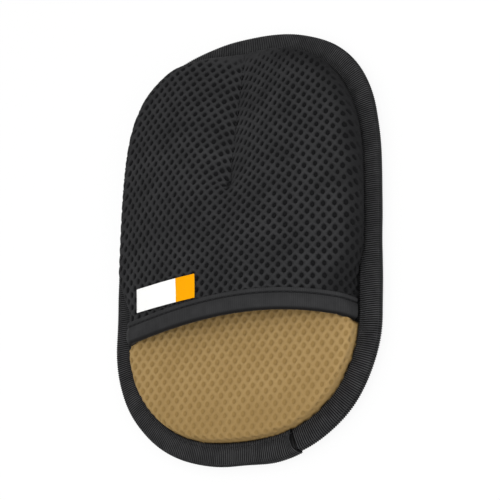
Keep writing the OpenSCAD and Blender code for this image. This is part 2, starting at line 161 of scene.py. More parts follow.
def waves(s, *lengths):
    """Gentle unevenness along a length, between -1 and 1."""
    return sum(np.sin(2 * np.pi * s / w + 1.7 * k) for k, w in enumerate(lengths)) / len(lengths)


# Rim outline, by an angle in radians that runs from the right side to the fingertips


def rim_at(t):
    s, c = np.sin(t), np.cos(t)
    up = s >= 0
    b = np.where(up, FINGER_LEN, HEEL_LEN)
    m = np.where(up, FINGER_POW_Y, HEEL_POW_Y)
    n = np.where(up, FINGER_POW_X, HEEL_POW_X)
    x = HALF_W * np.sign(c) * np.maximum(1 - np.abs(s) ** m, 0) ** (1 / n)
    return np.stack([x, WIDEST_Y + b * s], -1)


def inset_at(t, d):
    e = math.radians(0.5)
    along = unit(rim_at(t + e) - rim_at(t - e))
    inward = np.stack([-along[..., 1], along[..., 0]], -1)
    return rim_at(t) + np.asarray(d)[..., None] * inward


def angle_at(y):
    return math.asin((y - WIDEST_Y) / (FINGER_LEN if y >= WIDEST_Y else HEEL_LEN))


class Walk:
    """The rim by distance walked along a line at one inset."""

    def __init__(self, inset, start, end):
        self.angles = np.linspace(start, end, 20001)
        p = inset_at(self.angles, np.full(self.angles.shape, float(inset)))
        steps = np.linalg.norm(np.diff(p, axis=0), axis=1)
        self.walked = np.concatenate([[0], np.cumsum(steps)])
        self.length = self.walked[-1]

    def angle(self, s):
        return np.interp(s, self.walked, self.angles)


# Meshes


def grid_faces(rows, cols, wrap_rows=False, wrap_cols=False):
    r = np.arange(rows if wrap_rows else rows - 1)
    c = np.arange(cols if wrap_cols else cols - 1)
    r, c = np.meshgrid(r, c, indexing="ij")
    r2, c2 = (r + 1) % rows, (c + 1) % cols
    corners = [r * cols + c, r * cols + c2, r2 * cols + c2, r2 * cols + c]
    return np.stack(corners, -1).reshape(-1, 4).tolist()


def piece(name, points, faces, material, depth=None, solid=True):
    """One smooth-shaded mesh object from points in millimetres, with a painted shade per point if given,
    kept as its depth attribute.
    """
    mesh = bpy.data.meshes.new(name)
    mesh.from_pydata((np.asarray(points) * MM).tolist(), [], faces)
    if depth is not None:
        shade = mesh.attributes.new("depth", "FLOAT", "POINT")
        shade.data.foreach_set("value", np.asarray(depth, np.float32))
    bm = bmesh.new()
    bm.from_mesh(mesh)
    bmesh.ops.dissolve_degenerate(bm, dist=1e-6, edges=bm.edges)
    if solid:
        bmesh.ops.recalc_face_normals(bm, faces=bm.faces)
    for face in bm.faces:
        face.smooth = True
    bm.to_mesh(mesh)
    bm.free()
    mesh.materials.append(material)
    obj = bpy.data.objects.new(name, mesh)
    bpy.context.scene.collection.objects.link(obj)
    return obj


def joined(parts):
    """Points and faces of several small meshes as one."""
    points, faces, n = [], [], 0
    for p, f in parts:
        points.append(p)
        faces += [[i + n for i in face] for face in f]
        n += len(p)
    return np.concatenate(points), faces


def stitch_row(centres, along, up):
    """Sewn stitches, each a short thread that dives into the cloth at both ends."""
    sides, rings = 6, 5
    parts = []
    turn = np.arange(sides) * 2 * np.pi / sides
    place = np.linspace(-1, 1, rings)
    girth = THREAD_D / 2 * (1 - STITCH_THIN * place**4)
    for c, a, u in zip(centres, unit(along), unit(up)):
        side = np.cross(u, a)
        axis = c + np.outer(place * STITCH_LEN / 2, a) - np.outer(STITCH_DIVE * place**4, u)
        ring = np.cos(turn)[:, None] * side + np.sin(turn)[:, None] * u
        p = (axis[:, None, :] + girth[:, None, None] * ring[None]).reshape(-1, 3)
        ends = [list(range(sides))[::-1], list(range((rings - 1) * sides, rings * sides))]
        parts.append((p, grid_faces(rings, sides, wrap_cols=True) + ends))
    return joined(parts)


def rim_stitches(inset, z, lift=None):
    """Places and directions of stitches all round the rim at one inset."""
    walk = Walk(inset, 0, 2 * np.pi)
    count = int(walk.length / (STITCH_LEN + STITCH_GAP))
    t = walk.angle((np.arange(count) + 0.5) * walk.length / count)
    ins = np.full(count, float(inset))
    plan = inset_at(t, ins)
    ahead = inset_at(t + 0.004, ins) - inset_at(t - 0.004, ins)
    height = np.full(count, float(z)) if lift is None else z + lift(t)
    flat = np.zeros(count)
    return np.column_stack([plan, height]), np.column_stack([ahead, flat])


# Formed cloth: sections run from one middle point outwards, and a flat point is placed by its
# direction from the middle and its distance along that section, as cloth lies


class Formed:
    def __init__(self, rays, sections, samples=240):
        order = np.argsort(rays)
        self.rays = rays[order]
        sections = sections[order]
        steps = np.linalg.norm(np.diff(sections, axis=1), axis=2)
        walked = np.concatenate([np.zeros((len(rays), 1)), np.cumsum(steps, axis=1)], axis=1)
        self.length = walked[:, -1]
        even = np.linspace(0, 1, samples)
        self.grid = np.stack([
            np.stack([np.interp(even * w[-1], w, row[:, k]) for k in range(3)], -1)
            for w, row in zip(walked, sections)])

    def reach(self, ray):
        return np.interp(ray, self.rays, self.length)

    def at(self, ray, s):
        i = np.interp(ray, self.rays, np.arange(len(self.rays)))
        i0 = np.clip(i.astype(int), 0, len(self.rays) - 2)
        f = (i - i0)[..., None]
        k = np.clip(s / self.reach(ray), 0, 1) * (self.grid.shape[1] - 1)
        k0 = np.clip(k.astype(int), 0, self.grid.shape[1] - 2)
        g = (k - k0)[..., None]
        low = mix(self.grid[i0, k0], self.grid[i0, k0 + 1], g)
        high = mix(self.grid[i0 + 1, k0], self.grid[i0 + 1, k0 + 1], g)
        return mix(low, high, f)


def with_normals(place, flat):
    """Placed points and the cloth's outward direction at each."""
    e = 0.4
    dx = place(flat + [e, 0]) - place(flat - [e, 0])
    dy = place(flat + [0, e]) - place(flat - [0, e])
    return place(flat), unit(np.cross(dx, dy))


# Pocket surface


def near_dart(x):
    return np.exp(-np.abs(x) / DART_REACH)


def far_up(t):
    """0 on the sides, 1 at the fingertips."""
    return smooth(WIDEST_Y + FINGER_LEN / 2, TIP_Y - 2 * DART_REACH, rim_at(t)[..., 1])


def pocket_r(t):
    x = np.abs(rim_at(t)[..., 0])
    side = mix(SIDE_ROLL_R, CORNER_ROLL_R, far_up(t))
    return mix(END_ROLL_R, side, smooth(DART_REACH / 2, 0.6 * HALF_W, x)) * (1 - 0.3 * near_dart(x))


def drawn_in(t):
    """1 where the mouth's ends are sewn down, 0 where the pocket's edge rolls out freely."""
    return 1 - smooth(COLLAR_Y, COLLAR_Y + DRAW_REACH, rim_at(t)[..., 1])


def roll_inset(t, p):
    """Inset of the pocket's edge at a turn of its roll, from its foot at -90 degrees to its top at 90."""
    drawn = drawn_in(t)
    corner = CORNER_DRAW * far_up(t) * smooth(0, HALF_W / 2, rim_at(t)[..., 0])
    bulge = pocket_r(t) * np.cos(p) * (1 - drawn) * (1 - corner)
    return ROLL_IN - bulge + MOUTH_LEAN * drawn * ((p + np.pi / 2) / np.pi) ** 2


def bow_at(x):
    u = x / BOW_HALF
    return MOUTH_BOW * np.maximum(1 - u**2, 0) * (1 + MOUTH_SKEW * u)


def bowed(p):
    fade = 1 - smooth(COLLAR_Y, COLLAR_Y + FINGER_LEN / 2, p[..., 1])
    out = p.copy()
    out[..., 1] += bow_at(p[..., 0]) * fade
    return out


def pocket_surface():
    start = angle_at(COLLAR_Y)
    t = np.linspace(start, np.pi - start, 601)
    r = pocket_r(t)
    edge = THREAD_D + 2 * r
    base = inset_at(t, roll_inset(t, np.pi / 2))
    middle = np.array([0, COLLAR_Y])
    u = np.linspace(0, 1, 120)
    plan = middle + u[None, :, None] * (base - middle)[:, None, :]
    dip = DART_DEPTH * near_dart(plan[..., 0]) * (1 - u**6)
    dip = dip * smooth(DART_END_Y - DART_REACH, DART_END_Y + DART_REACH, plan[..., 1])
    below = (plan[..., 0] / PUCKER_X) ** 2 + ((plan[..., 1] - DART_END_Y - PUCKER_X) / PUCKER_Y) ** 2
    dip = dip + PUCKER_DEPTH * np.exp(-below)
    z = RIM_Z + edge[:, None] + (MOUTH_RISE - edge)[:, None] * (1 - u**2) - dip
    crown = np.concatenate([plan, z[..., None]], -1)
    turns = np.radians(np.linspace(90, -90, 40))
    rolls = np.stack([
        np.column_stack([inset_at(t, roll_inset(t, p)), RIM_Z + THREAD_D + r + r * np.sin(p)])
        for p in turns[1:]], 1)
    ends = np.stack([
        np.column_stack([inset_at(t, np.full(t.shape, d)), np.full(t.shape, height)])
        for d, height in (NECK, HEM)], 1)
    sections = np.concatenate([crown, rolls, ends], 1)
    rays = np.unwrap(np.arctan2(base[:, 1] - middle[1], base[:, 0] - middle[0]))
    return Formed(rays, sections)


POCKET = pocket_surface()
POCKET_SIDE = float(POCKET.reach(0.0)) - HEM_PATH


def pocket_place(flat):
    """Place flat points, measured from the mouth's middle at the collar line, on the pocket."""
    x, y = flat[..., 0], flat[..., 1]
    ahead = np.maximum(y, 0)
    ray = np.clip(np.arctan2(ahead, x), POCKET.rays[0], POCKET.rays[-1])
    p = POCKET.at(ray, np.hypot(x, ahead))
    p[..., 1] += np.clip(y, -COLLAR_LEN - 2, 0)
    return bowed(p)


def pocket_gather(flat):
    """Close the dart: the cloth on both sides of the cut-out wedge turns about its lower end."""
    pivot = np.array([0, DART_END_Y - COLLAR_Y])
    rel = flat - pivot
    right = rel[..., 0] >= 0
    angle = np.arctan2(rel[..., 1], np.abs(rel[..., 0]))
    angle = angle + DART_WEDGE * smooth(-np.pi / 2, 0.2, angle)
    angle = np.minimum(angle, np.pi / 2)
    dist = np.linalg.norm(rel, axis=-1)
    x = np.where(right, 1, -1) * dist * np.cos(angle)
    y = dist * np.sin(angle)
    pull = DART_PULL * np.exp(-np.abs(x) / DART_PULL_REACH) * smooth(-DART_PULL, 2 * DART_PULL, y)
    return pivot + np.stack([x, y - pull], -1)


def in_dart(flat):
    """True in the wedge that the dart takes out, by more than half a cell."""
    rel = flat - np.array([0, DART_END_Y - COLLAR_Y])
    past = np.arctan2(rel[..., 1], np.abs(rel[..., 0])) - (np.pi / 2 - DART_WEDGE)
    return past * np.linalg.norm(rel, axis=-1) > BLACK_NET["across"] / 2


# Lining surface


LINING_SEAM = 2


def lining_surface():
    plump_y = MOUTH_Y - LINING_ROLL_R - BAND_OUT - 2 * SOFT_GAP
    tucked_y = MOUTH_Y - BAND_OUT - 2 * SOFT_GAP
    t = np.linspace(-np.pi, np.pi, 1201)
    y = rim_at(t)[:, 1]
    tucked = smooth(plump_y, tucked_y, y)
    sunk = smooth(MOUTH_Y, MOUTH_Y + FULL_REACH, y)
    heel = TAPE_T + 2 * SOFT_GAP + 2 * LINING_ROLL_R
    edge = mix(heel, mix(LINING_TUCK, LINING_TIP, smooth(MOUTH_Y, TIP_Y, y)), sunk)
    r = mix(LINING_ROLL_R, mix(LINING_ROLL_R / 2, LINING_TIP / 2, sunk), tucked)
    seam = 2 * HEM_T + SOFT_GAP
    roll_in = mix(LEAVE + 1.25 * LINING_ROLL_R, LEAVE + seam + r + SOFT_GAP, tucked)
    base = inset_at(t, roll_in)
    middle = np.array([0, COLLAR_Y])
    u = np.linspace(0, 1, 90)
    plan = middle + u[None, :, None] * (base - middle)[:, None, :]
    z = RIM_Z + edge[:, None] + (LINING_RISE - edge)[:, None] * (1 - u**2)
    crown = np.concatenate([plan, z[..., None]], -1)
    rolls = [
        np.column_stack([inset_at(t, roll_in - r * np.cos(p)), RIM_Z + edge - r + r * np.sin(p)])
        for p in np.radians(np.linspace(90, 0, 20))[1:]]
    ends = [
        np.column_stack([inset_at(t, mix(d, LEAVE + seam, tucked)), np.full(t.shape, RIM_Z - TAPE_T - drop)])
        for d, drop in ((LEAVE, 0), (TAPE_FACE - LINING_SEAM, 2 * SOFT_GAP))]
    sections = np.concatenate([crown, np.stack(rolls + ends, 1)], 1)
    rays = np.unwrap(np.arctan2(base[:, 1] - middle[1], base[:, 0] - middle[0]))
    return Formed(rays, sections)


LINING = lining_surface()


def lining_ray(flat):
    ray = np.arctan2(flat[..., 1], flat[..., 0])
    ray = np.where(ray < LINING.rays[0], ray + 2 * np.pi, ray)
    return np.where(ray > LINING.rays[-1], ray - 2 * np.pi, ray)


def lining_place(flat):
    return LINING.at(lining_ray(flat), np.linalg.norm(flat, axis=-1))


# Netting: staggered holes with sloping walls and a floor, and rounded threads between them


def netting(net, extent, keep, gather, trim, place, painted_shade, openness):
    """Points, faces and shades of a net laid out flat, then gathered, trimmed and placed on its surface."""
    a, b = net["across"] / 2, net["row"]
    hole = np.array(net["hole"]) / 2
    corners = np.array([(a, NET_SIDE), (0, b - NET_SIDE), (-a, NET_SIDE), (-a, -NET_SIDE),
                        (0, NET_SIDE - b), (a, -NET_SIDE)])
    border = np.stack([corners, (corners + np.roll(corners, -1, 0)) / 2], 1).reshape(-1, 2)
    rim = border / np.linalg.norm(border / hole, axis=1)[:, None]
    n = len(border)
    cols, rows = (int(e / p) + 2 for e, p in zip(extent, (net["across"], net["row"])))
    j, i = np.meshgrid(np.arange(-rows, rows + 1), np.arange(-cols, cols + 1), indexing="ij")
    centres = np.stack([(i + 0.5 * (j % 2)) * net["across"], j * net["row"]], -1).reshape(-1, 2)
    centres = centres[keep(centres)]
    outer = (centres[:, None] + border).reshape(-1, 2)
    keys, share = np.unique(np.round(outer * 100).astype(int), axis=0, return_inverse=True)
    chance = np.random.default_rng(UNEVEN_SEED)
    shift = chance.normal(0, UNEVEN_PLACE, (len(centres), 1, 2))
    size = 1 + chance.normal(0, UNEVEN_SIZE, (len(centres), 1, 1))
    opened = openness(gather(centres))
    size = size * mix(SHUT_HOLE, 1, opened)[:, None, None]
    rims = (centres[:, None] + shift + size * rim).reshape(-1, 2)
    deeps = (centres[:, None] + shift + HOLE_FLOOR * size * rim).reshape(-1, 2)
    flat = trim(gather(np.concatenate([keys / 100, rims, deeps])))
    around = np.repeat(opened, n)
    level = np.concatenate([np.zeros(len(keys)), HOLE_RIM_SINK * around, around])
    p, normal = with_normals(place, flat)
    points = p - normal * (level * net["depth"])[:, None]
    first = np.arange(len(centres))[:, None] * n
    ring = np.arange(n)
    o = share.reshape(-1, n)
    r = len(keys) + first + ring
    d = r + len(rims)
    quads = [np.stack([x, np.roll(x, -1, 1), np.roll(y, -1, 1), y], -1).reshape(-1, 4)
             for x, y in ((o, r), (r, d))]
    # Painted shade: deeper in a hole is darker, up to a half, and the painted shade given near the seams and
    # elsewhere goes up to 1
    shade = np.maximum(level / 2, painted_shade(flat))
    return points, np.concatenate(quads).tolist() + d.tolist(), shade


# Materials


def linear(*srgb):
    c = np.array(srgb) / 255
    return (*np.where(c <= 0.04045, c / 12.92, ((c + 0.055) / 1.055) ** 2.4), 1.0)


class Shader:
    """A procedural material around one Principled shader, with coordinates in millimetres."""

    def __init__(self, name, roughness, sheen=0.0, specular=0.3):
        self.material = bpy.data.materials.new(name)
        self.material.use_nodes = True
        self.nodes = self.material.node_tree.nodes
        self.links = self.material.node_tree.links
        self.bsdf = self.nodes["Principled BSDF"]
        self.bsdf.inputs["Roughness"].default_value = roughness
        self.bsdf.inputs["Specular IOR Level"].default_value = specular
        self.bsdf.inputs["Sheen Weight"].default_value = sheen
        self.bsdf.inputs["Sheen Roughness"].default_value = 0.5
        coords = self.nodes.new("ShaderNodeTexCoord")
        scale = self.nodes.new("ShaderNodeVectorMath")
        scale.operation = "SCALE"
        scale.inputs["Scale"].default_value = 1 / MM
        self.link(coords.outputs["Object"], scale.inputs[0])
        self.mm = scale.outputs[0]

    def link(self, a, b):
        self.links.new(a, b)

    def noise(self, size, detail=3.0):
        node = self.nodes.new("ShaderNodeTexNoise")
        node.inputs["Scale"].default_value = 1 / size
        node.inputs["Detail"].default_value = detail
        self.link(self.mm, node.inputs["Vector"])
        return node.outputs["Fac"]

    def weave(self, size, direction):
        node = self.nodes.new("ShaderNodeTexWave")
        node.bands_direction = direction
        node.inputs["Scale"].default_value = math.pi / (10 * size)
        node.inputs["Distortion"].default_value = 0.6
        self.link(self.mm, node.inputs["Vector"])
        return node.outputs["Fac"]

    def attribute(self, name):
        node = self.nodes.new("ShaderNodeAttribute")
        node.attribute_name = name
        return node.outputs["Fac"]

    def math(self, operation, a, b):
        node = self.nodes.new("ShaderNodeMath")
        node.operation = operation
        for value, socket in zip((a, b), node.inputs):
            if isinstance(value, (int, float)):
                socket.default_value = value
            else:
                self.link(value, socket)
        return node.outputs[0]

    def ramp(self, fac, low, high, start=0.0, end=1.0):
        node = self.nodes.new("ShaderNodeValToRGB")
        for stop, place, colour in zip(node.color_ramp.elements, (start, end), (low, high)):
            stop.position, stop.color = place, colour
        self.link(fac, node.inputs["Fac"])
        return node.outputs["Color"]

    def blend(self, fac, a, b):
        node = self.nodes.new("ShaderNodeMix")
        node.data_type = "RGBA"
        for value, socket in ((fac, node.inputs["Factor"]), (a, node.inputs[6]), (b, node.inputs[7])):
            if isinstance(value, (int, float, tuple)):
                socket.default_value = value
            else:
                self.link(value, socket)
        return node.outputs[2]

    def colour(self, socket):
        self.link(socket, self.bsdf.inputs["Base Color"])

    def rough(self, fac, low, high):
        node = self.nodes.new("ShaderNodeMapRange")
        node.inputs["To Min"].default_value, node.inputs["To Max"].default_value = low, high
        self.link(fac, node.inputs["Value"])
        self.link(node.outputs["Result"], self.bsdf.inputs["Roughness"])

    def bump(self, height, depth):
        node = self.nodes.new("ShaderNodeBump")
        node.inputs["Strength"].default_value = 0.6
        node.inputs["Distance"].default_value = depth * MM
        self.link(height, node.inputs["Height"])
        self.link(node.outputs["Normal"], self.bsdf.inputs["Normal"])


def netting_material(name, thread, thread_light, hole, seam):
    """Yarn with painted shade that darkens it into the holes and towards the seams, with fine filaments and
    a slightly uneven dye.
    """
    s = Shader(name, 0.85, 0.0, 0.05)
    dye = s.noise(14)
    yarn = s.ramp(dye, thread, thread_light, 0.3, 0.7)
    depth = s.math("MULTIPLY", s.attribute("depth"), 2.0)
    pierced = s.blend(depth, yarn, hole)
    s.colour(s.blend(s.math("SUBTRACT", depth, 1.0), pierced, seam))
    filament = s.math("ADD", s.noise(0.35, 4.0), s.weave(0.45, "DIAGONAL"))
    s.rough(s.noise(2.0), 0.72, 0.95)
    s.bump(filament, 0.12)
    return s.material


def tape_material(name, dark, light, groove):
    """Ribbed tape: dull woven filaments with a worn, paler look in patches, darkened by the painted shade in
    its depth attribute.
    """
    s = Shader(name, 0.65, 0.0, 0.08)
    face = s.ramp(s.noise(5.0, 5.0), dark, light, 0.3, 0.75)
    s.colour(s.blend(s.attribute("depth"), face, groove))
    s.rough(s.noise(9.0), 0.5, 0.78)
    s.bump(s.noise(0.3, 4.0), 0.08)
    return s.material


def woven_material(name, dark, light, pitch, sheen, specular=0.25):
    """Plain weave or fine knit."""
    s = Shader(name, 0.8, sheen, specular)
    weave = s.math("MULTIPLY", s.weave(pitch, "X"), s.weave(pitch, "Y"))
    s.colour(s.ramp(weave, dark, light))
    s.rough(s.noise(6.0), 0.7, 0.9)
    s.bump(weave, 0.15)
    return s.material


def rubber_material():
    s = Shader("pad_rubber", 0.5, 0.0, 0.45)
    s.colour(s.ramp(s.noise(18.0, 4.0), linear(36, 36, 38), linear(50, 50, 53), 0.3, 0.7))
    s.rough(s.noise(3.0), 0.42, 0.62)
    s.bump(s.noise(0.25, 3.0), 0.05)
    return s.material


def thread_material():
    s = Shader("thread", 0.7, 0.0, 0.2)
    s.colour(s.ramp(s.weave(0.35, "DIAGONAL"), linear(14, 14, 15), linear(28, 28, 30)))
    s.rough(s.noise(0.8), 0.5, 0.75)
    s.bump(s.weave(0.35, "DIAGONAL"), 0.08)
    return s.material


# Each net's hole and seam colours are painted shade: the hole colour for the shade in the pores, also mixed
# in by the painted flank and heel shade, and the seam colour for the shadow beside the tape and in the
# dart's notch
black_net = netting_material("black_netting", linear(44, 44, 45), linear(54, 54, 55),
                             linear(21, 21, 22), linear(10, 10, 11))
black_back = woven_material("black_knit_back", linear(30, 30, 31), linear(46, 46, 47), 0.9, 0.1)
tan_net = netting_material("tan_netting", linear(154, 127, 83), linear(162, 135, 90),
                           linear(139, 113, 69), linear(26, 21, 14))
# Each tape's last colour is painted shade, for its rib grooves, sewing groove, edges and shadow lines
tape_dark = tape_material("edge_tape", linear(50, 50, 51), linear(68, 68, 69), linear(3, 3, 4))
tape_light = tape_material("mouth_tape", linear(52, 52, 53), linear(62, 62, 63), linear(22, 22, 23))
palm_cloth = woven_material("palm_cloth", linear(30, 30, 31), linear(52, 52, 53), 0.7, 0.1)
label_white = woven_material("label_white", linear(252, 252, 250), linear(255, 255, 254), 0.4, 0.0, 0.1)
label_orange = woven_material("label_orange", linear(246, 163, 0), linear(254, 176, 4), 0.4, 0.0, 0.05)
rubber = rubber_material()
thread = thread_material()


# Edge binding: ribbed tape folded over the rim, its end lapped over its start


LAP_ANGLE = LAP_LEN / HALF_W
LAP_CLIMB = 1.2 * LAP_ANGLE
LAP_STEP = 0.6 * LAP_ANGLE
# The lapped end is cut in a shallow curve, which fades out along the tape
LAP_BOW, LAP_BOW_REACH = 2.2, 6
LAP_LIFT = TAPE_T + LAYER_GAP
LAP_END = math.radians(LAP_AT) + 2 * math.pi
LAP_FROM = LAP_END - LAP_ANGLE


def tape_loop():
    """Half of the tape's outside by inset and height from its middle, then the other half and the inside."""
    half = (RIM_Z - SHELL_Z + TAPE_T) / 2
    nose = np.radians(np.linspace(90, 0, 9))
    fold = 3.2
    power = 2 / 2.4
    top = [(TAPE_FACE, half - 0.35), (TAPE_FACE - 0.5, half - 0.1),
           (TAPE_FACE - EDGE_STITCH_IN + 0.6, half), (TAPE_FACE - EDGE_STITCH_IN, half - 0.22),
           (TAPE_FACE - EDGE_STITCH_IN - 0.6, half + 0.05), (mix(fold, TAPE_FACE, 0.45), half + 0.3)]
    top += [(fold - fold * math.cos(a) ** power if a < math.pi / 2 else fold,
             half * math.sin(a) ** power if a > 0 else 0) for a in nose]
    inner = half - TAPE_T
    back = [(TAPE_FACE, -inner), (TAPE_T, -inner), (TAPE_T, inner), (TAPE_FACE, inner)]
    outside = top + [(d, -z) for d, z in reversed(top[:-1])]
    return np.array(outside), np.array(back)


def edge_tape():
    start = LAP_END - 2 * math.pi - LAP_ANGLE
    walk = Walk(TAPE_FACE / 2, start, LAP_END)
    count = int(walk.length / RIB_PITCH) * 6
    s = np.linspace(0, walk.length, count)
    t = walk.angle(s)
    outside, back = tape_loop()
    loop = np.concatenate([outside, back])
    outward = np.roll(loop, 1, 0) - np.roll(loop, -1, 0)
    outward = unit(np.stack([outward[:, 1], -outward[:, 0]], -1))
    if outward[len(outside) // 2][0] > 0:
        outward = -outward
    ribbed = np.concatenate([np.ones(len(outside)), np.zeros(len(back))])
    rib = RIB_H / 2 * np.cos(2 * np.pi * s / RIB_PITCH) * (0.75 + 0.25 * waves(s, 37, 21, 53))
    lift = LAP_LIFT * smooth(LAP_FROM - LAP_CLIMB, LAP_FROM, t)
    middle = (RIM_Z + SHELL_Z - TAPE_T) / 2
    d = loop[None, :, 0] + rib[:, None] * (outward[:, 0] * ribbed)[None]
    z = loop[None, :, 1] + rib[:, None] * (outward[:, 1] * ribbed)[None]
    grown = np.clip((TAPE_FACE - loop[:, 0]) / TAPE_FACE, 0, 1)
    d = d - lift[:, None] * grown[None] + 0.25 * waves(s, 61, 33, 87)[:, None] * grown[None]
    z = z + lift[:, None] * np.sign(loop[:, 1])[None] + middle
    across = np.clip(loop[:, 0] / TAPE_FACE, 0, 1)
    bow = LAP_BOW * 4 * across * (1 - across)
    near_end = smooth(walk.length - LAP_BOW_REACH, walk.length, s)
    plan = inset_at(walk.angle(s[:, None] - near_end[:, None] * bow[None]).reshape(-1), d.reshape(-1))
    points = np.column_stack([plan, z.reshape(-1)])
    n = len(loop)
    faces = grid_faces(count, n, wrap_cols=True)
    faces += [list(range(n)), list(range((count - 1) * n, count * n))[::-1]]
    # Painted shade at the tape's inner edge and on its outer fold
    edge = TAPE_EDGE_SHADE * smooth(TAPE_FACE - EDGE_STITCH_IN, TAPE_FACE, loop[:, 0])
    edge = edge + TAPE_FOLD_SHADE * smooth(*TAPE_FOLD_REACH, loop[:, 0])
    beside = Walk(TAPE_FACE / 2, start, LAP_END - 2 * math.pi).length
    # Painted shadow at the lap's cut end and in a line beside it on the tape below
    cut = np.maximum(smooth(walk.length - LAP_CUT, walk.length, s)[:, None],
                     np.exp(-((s[:, None] + bow[None] - beside) / LAP_LINE) ** 2))
    # Painted shade in the grooves between the ribs
    groove = smooth(0.25, 0.75, 0.5 - rib / RIB_H)
    groove = np.clip(groove[:, None] + edge[None] + cut, 0, 1) * ribbed[None]
    return piece("edge_binding_tape", points, faces, tape_dark, groove.reshape(-1))


def thread_lift(t):
    """How far the lap lifts the thread that runs over it."""
    u = np.where(t < LAP_END - math.pi, t + 2 * math.pi, t)
    return LAP_LIFT * (smooth(LAP_FROM - LAP_CLIMB, LAP_FROM, u)
                       - smooth(LAP_END + LAP_STEP / 8, LAP_END + LAP_STEP, u))


def edge_stitches(name, z, up):
    centres, along = rim_stitches(TAPE_FACE - EDGE_STITCH_IN, z, lambda t: up * thread_lift(t))
    points, faces = stitch_row(centres, along, np.tile([0, 0, up], (len(centres), 1)))
    return piece(name, points, faces, thread)


# Palm


def rim_rings(levels, count=240):
    """Rings at (inset, height) pairs, all with the same stations."""
    walk = Walk(PAD_INSET, 0, 2 * np.pi)
    t = walk.angle(np.arange(count) / count * walk.length)
    rings = [np.column_stack([inset_at(t, np.full(count, float(d))), np.full(count, float(z))])
             for d, z in levels]
    return np.concatenate(rings), grid_faces(len(levels), count, wrap_cols=True), count


def inside(x, y, d):
    """True if a point lies within the rim's outline drawn in by a distance."""
    up = y >= WIDEST_Y
    b = (FINGER_LEN if up else HEEL_LEN) - d
    m, n = (FINGER_POW_Y, FINGER_POW_X) if up else (HEEL_POW_Y, HEEL_POW_X)
    return (abs(x) / (HALF_W - d)) ** n + (abs(y - WIDEST_Y) / b) ** m < 1


def rubber_pad():
    """Moulded pad with a soft edge, a sewing channel and nubs that flare into the sheet."""
    channel = PAD_INSET + PAD_STITCH_IN
    levels = [(PAD_INSET, SHELL_Z), (PAD_INSET, PAD_Z + 0.7), (PAD_INSET + 0.2, PAD_Z + 0.25),
              (PAD_INSET + 0.7, PAD_Z), (channel - 0.7, PAD_Z), (channel - 0.3, PAD_Z + 0.2),
              (channel + 0.3, PAD_Z + 0.2), (channel + 0.7, PAD_Z), (channel + 2, PAD_Z)]
    points, faces, count = rim_rings(levels)
    faces += [list(range(count)), list(range((len(levels) - 1) * count, len(levels) * count))]
    parts = [(points, faces)]
    root, tip = NUB_ROOT_D / 2, NUB_TIP_D / 2
    profile = [(root + 0.9, 0.02), (root + 0.35, 0.15), (root, 0.7), (mix(root, tip, 0.45), 0.5 * NUB_H),
               (tip + 0.1, NUB_H - 0.9), (tip - 0.15, NUB_H - 0.35), (tip - 0.6, NUB_H - 0.08), (0.2, NUB_H)]
    sides = 16
    turn = np.arange(sides) * 2 * np.pi / sides
    ring = np.stack([np.cos(turn), np.sin(turn)], -1)
    nub = np.concatenate([np.column_stack([ring * r, np.full(sides, PAD_Z - h)]) for r, h in profile])
    nub_faces = grid_faces(len(profile), sides, wrap_cols=True)
    nub_faces.append(list(range((len(profile) - 1) * sides, len(profile) * sides)))
    row = NUB_PITCH * math.sqrt(3) / 2
    for j in range(math.floor(HEEL_Y / row), math.ceil(TIP_Y / row) + 1):
        for i in range(-math.ceil(HALF_W / NUB_PITCH), math.ceil(HALF_W / NUB_PITCH) + 1):
            x, y = (i + (0 if j % 2 == 0 else 0.5)) * NUB_PITCH, j * row
            if inside(x, y, PAD_INSET + NUB_MARGIN):
                parts.append((nub + [x, y, 0], nub_faces))
    points, faces = joined(parts)
    return piece("rubber_nub_pad", points, faces, rubber)


def palm_cloth_sheet():
    """The cloth under the pad, drawn in a little along both seams."""
    levels = [(CAUGHT, SHELL_Z + 0.1), (TAPE_FACE, SHELL_Z + 0.1), (TAPE_FACE + 1.5, SHELL_Z - 0.15),
              (PAD_INSET - 1.5, SHELL_Z - 0.1), (PAD_INSET, SHELL_Z + 0.05), (PAD_INSET + 6, SHELL_Z + 0.1)]
    points, faces, count = rim_rings(levels)
    faces.append(list(range((len(levels) - 1) * count, len(levels) * count)))
    sheet = piece("palm_cloth_sheet", points, [f[::-1] for f in faces], palm_cloth, solid=False)
    x, y = points[:count, 0], points[:count, 1]
    area = abs(np.dot(x, np.roll(y, -1)) - np.dot(y, np.roll(x, -1))) / 2
    flat = (np.ptp(x) * MM, np.ptp(y) * MM)
    return sheet, flat, area * MM * MM


def pad_stitches():
    centres, along = rim_stitches(PAD_INSET + PAD_STITCH_IN, PAD_Z + 0.05)
    points, faces = stitch_row(centres, along, np.tile([0, 0, -1], (len(centres), 1)))
    return piece("pad_stitches", points, faces, thread)


def lining_net():
    def keep(c):
        return np.linalg.norm(c, axis=1) < LINING.reach(lining_ray(c)) + 1

    def trim(f):
        reach = LINING.reach(lining_ray(f))
        dist = np.maximum(np.linalg.norm(f, axis=1), 1e-6)
        return f * np.minimum(1, (reach - 0.05) / dist)[:, None]

    def to_seam(f):
        return LINING.reach(lining_ray(f)) - np.linalg.norm(f, axis=1) - LINING_SEAM

    def painted_shade(f):
        # Painted shadow where the net meets the tape, and painted shade towards the heel
        painted_heel_shade = HEEL_SHADE * smooth(*HEEL_SHADE_FROM_TO, -f[:, 1] / (COLLAR_Y - HEEL_Y - LEAVE))
        return np.maximum(smooth(SEAM_REACH, SEAM_REACH / 3, to_seam(f)), painted_heel_shade)

    extent = (HALF_W + NET_SPARE_X, FINGER_LEN + NET_SPARE_Y)
    points, faces, shade = netting(TAN_NET, extent, keep, lambda f: f, trim, lining_place, painted_shade,
                                   lambda f: smooth(*LINING_CLOSED_TO_OPEN, to_seam(f)))
    return piece("palm_lining_net", points, faces, tan_net, shade, solid=False)


# Pocket


